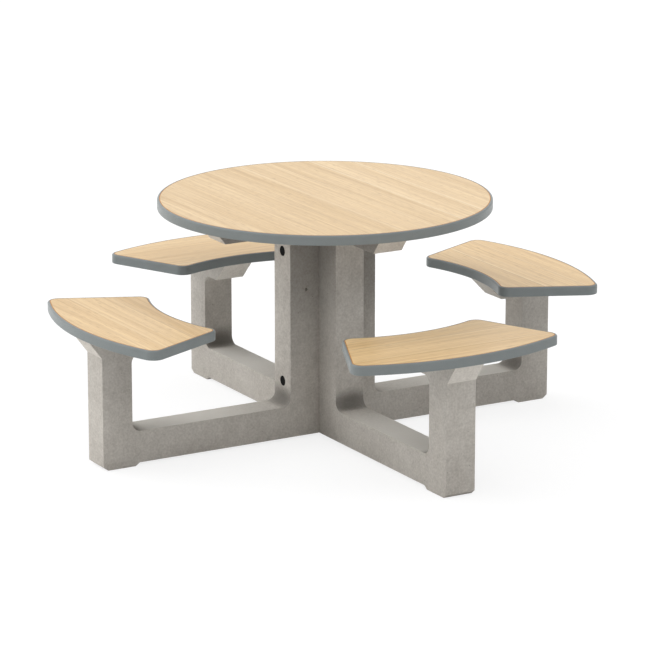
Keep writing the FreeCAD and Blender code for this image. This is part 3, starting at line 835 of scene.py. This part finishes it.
def backing_sheet():
    """Balancing sheet under a board: grey pressed paper laminate with a fine pebbled face."""
    material, tree, shader = new_material("grey_backing_laminate")
    place = add(tree, "TexCoord")["Object"]
    pebble = add(tree, "TexNoise", {"Vector": place, "Scale": 1 / (3 * MM), "Detail": 2.0})["Fac"]
    colour = add(tree, "Mix", {FACTOR: pebble, FROM: linear("#86888a"), TO: linear("#989a9b")}, **MIX)[MIXED]
    tree.links.new(colour, shader["Base Color"])
    relief = add(tree, "Bump", {"Strength": 0.2, "Distance": 0.1 * MM, "Height": pebble})[0]
    tree.links.new(relief, shader["Normal"])
    shader["Roughness"].default_value = 0.6
    return material


def board_core():
    """Wood-fibre board: brown felted fibres, seen only where the sheets and the band are taken off."""
    material, tree, shader = new_material("wood_fibre_core")
    place = add(tree, "TexCoord")["Object"]
    felt = add(tree, "TexNoise", {"Vector": place, "Scale": 1 / (2.5 * MM), "Detail": 4.0})["Fac"]
    colour = add(tree, "Mix", {FACTOR: felt, FROM: linear("#8a6a48"), TO: linear("#b8946a")}, **MIX)[MIXED]
    tree.links.new(colour, shader["Base Color"])
    shader["Roughness"].default_value = 0.85
    return material


def black_cap():
    """Black polyethylene cap: nearly black, its moulded face dull with a faint scuffed sheen."""
    material, tree, shader = new_material("black_polyethylene")
    place = add(tree, "TexCoord")["Object"]
    scuff = add(tree, "TexNoise", {"Vector": place, "Scale": 1 / (6 * MM), "Detail": 3.0})["Fac"]
    colour = add(tree, "Mix", {FACTOR: scuff, FROM: linear("#0a0a0a"), TO: linear("#121212")}, **MIX)[MIXED]
    tree.links.new(colour, shader["Base Color"])
    gloss = add(tree, "MapRange", {0: scuff, 1: 0.3, 2: 0.7, 3: 0.7, 4: 0.85})[0]
    tree.links.new(gloss, shader["Roughness"])
    shader["Specular IOR Level"].default_value = 0.1
    return material


OAK, CUT, MOULDING, CONCRETE = oak_decor(), laminate_cut(), grey_moulding(), cast_concrete()
ZINC, BACKING, CORE, BLACK = zinc_steel(), backing_sheet(), board_core(), black_cap()


# Pieces: castings
def stand_casting(node, slab, turn):
    """A casting turned to its arm, which keeps each point's place along the arm, across the slab and up."""
    turned = [moved(stretch, turn) for stretch in slab]
    piece = make_piece(node + "_casting", turned, [CONCRETE], node, SHARP["casting"])
    places = moved({"points": point_places(piece.data)}, -turn)["points"]
    store_places(piece.data, "arm", places)


stand_casting("main_frame", main_casting(), ARM_TURNS["right"])
for arm, pits in (("front", [LARGE_PIT]), ("rear", [])):
    stand_casting(arm + "_half_frame", half_casting(pits, SEEDS[arm]), ARM_TURNS[arm])


# Pieces: boards
def dress_board(name, rim, top, centre, turn, along_x):
    """A board's edge moulding and decor sheet, turned to their arm. Each point of the sheet keeps its place
    along and across the printed grain, shifted so that no two boards match."""
    band = [moved(stretch, turn) for stretch in edge_moulding(rim, top)]
    make_piece(name + "_edge_moulding", band, [MOULDING], name + "_edge_band")
    sheet = [moved(stretch, turn) for stretch in decor_sheet(rim, top, centre)]
    decor = make_piece(name + "_decor_sheet", sheet, [OAK, CUT], name + "_laminate")
    places = point_places(decor.data)
    along, across = (0, 1) if along_x else (1, 0)
    shift_along, shift_across, layer = GRAIN_SHIFTS[name]
    grain = [places[:, along] + shift_along, places[:, across] + shift_across, np.full(len(places), layer)]
    store_places(decor.data, "grain", np.stack(grain, -1))


dress_board("table", table_rim(), TABLE_TOP, np.zeros(2), 0.0, True)
for arm, turn in ARM_TURNS.items():
    dress_board(arm + "_seat", seat_rim(), SEAT_TOP, SEAT_MIDDLE, turn, arm in ("front", "rear"))


# Pieces: fasteners
def fastener_sets(name, bolt, washer, places, arms):
    """A set of bolts and a set of washers, repeated at the (u, t, z) places of each arm."""
    spots = [(place, ARM_TURNS[arm]) for arm in arms for place in places]
    bolts = [moved(moved(grid_surface(bolt), shift=place), turn) for place, turn in spots]
    washers = [moved(moved(grid_surface(washer), shift=place), turn) for place, turn in spots]
    make_piece(name + "_bolt_set", bolts, [ZINC], name + "_bolts", SHARP["bolt"])
    make_piece(name + "_washer_set", washers, [ZINC], name + "_bolt_washers", SHARP["washer"])


BOLTED = {"table": (TABLE_BOLTS, HEAD_TABLE, BED_TABLE), "seat": (SEAT_BOLTS, HEAD_SEAT, BED_SEAT)}
for name, (places, head, bed) in BOLTED.items():
    bearing = head + SINK_DEPTH - SMALL_WASHER["thickness"]
    bolt = hexagon_bolt(**SMALL_BOLT, length=bed + INSERT_REACH - bearing)
    fastener_sets(name, bolt, flat_washer(**SMALL_WASHER), [(u, t, bearing) for u, t in places], ARM_TURNS)
bearing = RECESS_FLOOR + LARGE_WASHER["thickness"]
bolt = pointed_inwards(hexagon_bolt(**LARGE_BOLT, length=bearing - SOCKET_REACH))
washer = pointed_inwards(flat_washer(**LARGE_WASHER))
frame_places = [(bearing, 0, height) for height in FRAME_BOLT_HEIGHTS]
fastener_sets("frame", bolt, washer, frame_places, ("front", "rear"))

# CAD solids that stay
KEPT = {"_core": CORE, "_backing": BACKING, "_inserts": ZINC, "_sockets": ZINC, "_caps": BLACK}
for name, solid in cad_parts.items():
    for ending, finish in KEPT.items():
        if name.endswith(ending):
            solid.data.materials.clear()
            solid.data.materials.append(finish)

# Stage: a white floor that keeps the shadow, white surroundings and three broad soft lights, each with a
# direction, a sharpness and a level: one overhead, a strong low one from the picture's left, and a weak one
# from high up at its right
SOFT_LIGHTS = [
    ((0, 0, 1), 2, 1.13),
    ((-0.74, -0.6, 0.305), 4, 2.85),
    ((0.63, 0.11, 0.769), 6, 1.1),
]
FLOOR_BOUNCE = 0.92
FLOOR_SHOWN = 0.25
FLOOR_GLOW = 0.8
FLOOR_REACH = 40.0
FLOOR_LEVEL = -0.3 * MM


def seen_directly(tree):
    """1 for camera, mirror and glass rays, 0 for the rays that carry light between surfaces."""
    path = add(tree, "LightPath")
    either = add(tree, "Math", {0: path["Is Camera Ray"], 1: path["Is Glossy Ray"]}, operation="MAXIMUM")[0]
    return add(tree, "Math", {0: either, 1: path["Is Transmission Ray"]}, operation="MAXIMUM")[0]


def white_floor():
    """Plain white floor: a matt white that bounces light, shown paler so that it meets the background."""
    material, tree, _ = new_material("white_studio_floor")
    tree.nodes.remove(tree.nodes["Principled BSDF"])
    bounce = add(tree, "BsdfDiffuse", {"Color": (FLOOR_BOUNCE,) * 3 + (1,)})[0]
    shadow = add(tree, "BsdfDiffuse", {"Color": (FLOOR_SHOWN,) * 3 + (1,)})[0]
    glow = add(tree, "Emission", {"Color": (1, 1, 1, 1), "Strength": FLOOR_GLOW})[0]
    shown = add(tree, "AddShader", {0: shadow, 1: glow})[0]
    mixed = add(tree, "MixShader", {0: seen_directly(tree), 1: bounce, 2: shown})[0]
    tree.links.new(mixed, tree.nodes["Material Output"].inputs["Surface"])
    return material


def studio_sky(lights):
    """Surroundings with broad soft lights: towards a direction d the light is the sum of each one's level
    times d's share towards it, to the power of its sharpness."""
    world = bpy.data.worlds.new("studio")
    bpy.context.scene.world = world
    world.use_nodes = True
    sky = world.node_tree
    direction = add(sky, "TexCoord")["Generated"]
    light = 0.0
    for middle, sharpness, level in lights:
        share = add(sky, "VectorMath", {0: direction, 1: middle}, operation="DOT_PRODUCT")["Value"]
        share = add(sky, "Math", {0: share, 1: 0.0}, operation="MAXIMUM")[0]
        lobe = add(sky, "Math", {0: share, 1: sharpness}, operation="POWER")[0]
        light = add(sky, "Math", {0: lobe, 1: level, 2: light}, operation="MULTIPLY_ADD")[0]
    shown = add(sky, "Mix", {0: seen_directly(sky), 2: light, 3: 1.0})[0]
    sky.links.new(shown, sky.nodes["Background"].inputs["Strength"])
    sky.nodes["Background"].inputs["Color"].default_value = (1, 1, 1, 1)


floor_mesh = bpy.data.meshes.new("floor")
floor_ends = ((-1, -1), (1, -1), (1, 1), (-1, 1))
floor_corners = [(x * FLOOR_REACH, y * FLOOR_REACH, FLOOR_LEVEL) for x, y in floor_ends]
floor_mesh.from_pydata(floor_corners, [], [(0, 1, 2, 3)])
floor_mesh.materials.append(white_floor())
floor = bpy.data.objects.new("floor", floor_mesh)
bpy.context.collection.objects.link(floor)
studio_sky(SOFT_LIGHTS)

# Camera at the photograph's viewing angle
AIM = Vector((0, 0, 0.3396))
DISTANCE = 11.178
AZIMUTH = math.radians(60.007)
ELEVATION = math.radians(15.027)
LENS = 198.77
SENSOR = 36.0
flat_share = math.cos(ELEVATION)
away = Vector((math.sin(AZIMUTH) * flat_share, -math.cos(AZIMUTH) * flat_share, math.sin(ELEVATION)))
camera_data = bpy.data.cameras.new("camera")
camera_data.lens = LENS
camera_data.sensor_width = SENSOR
camera = bpy.data.objects.new("camera", camera_data)
camera.location = AIM + away * DISTANCE
camera.rotation_euler = (-away).to_track_quat("-Z", "Y").to_euler()
bpy.context.collection.objects.link(camera)
bpy.context.scene.camera = camera
bpy.context.scene.view_settings.view_transform = "Standard"
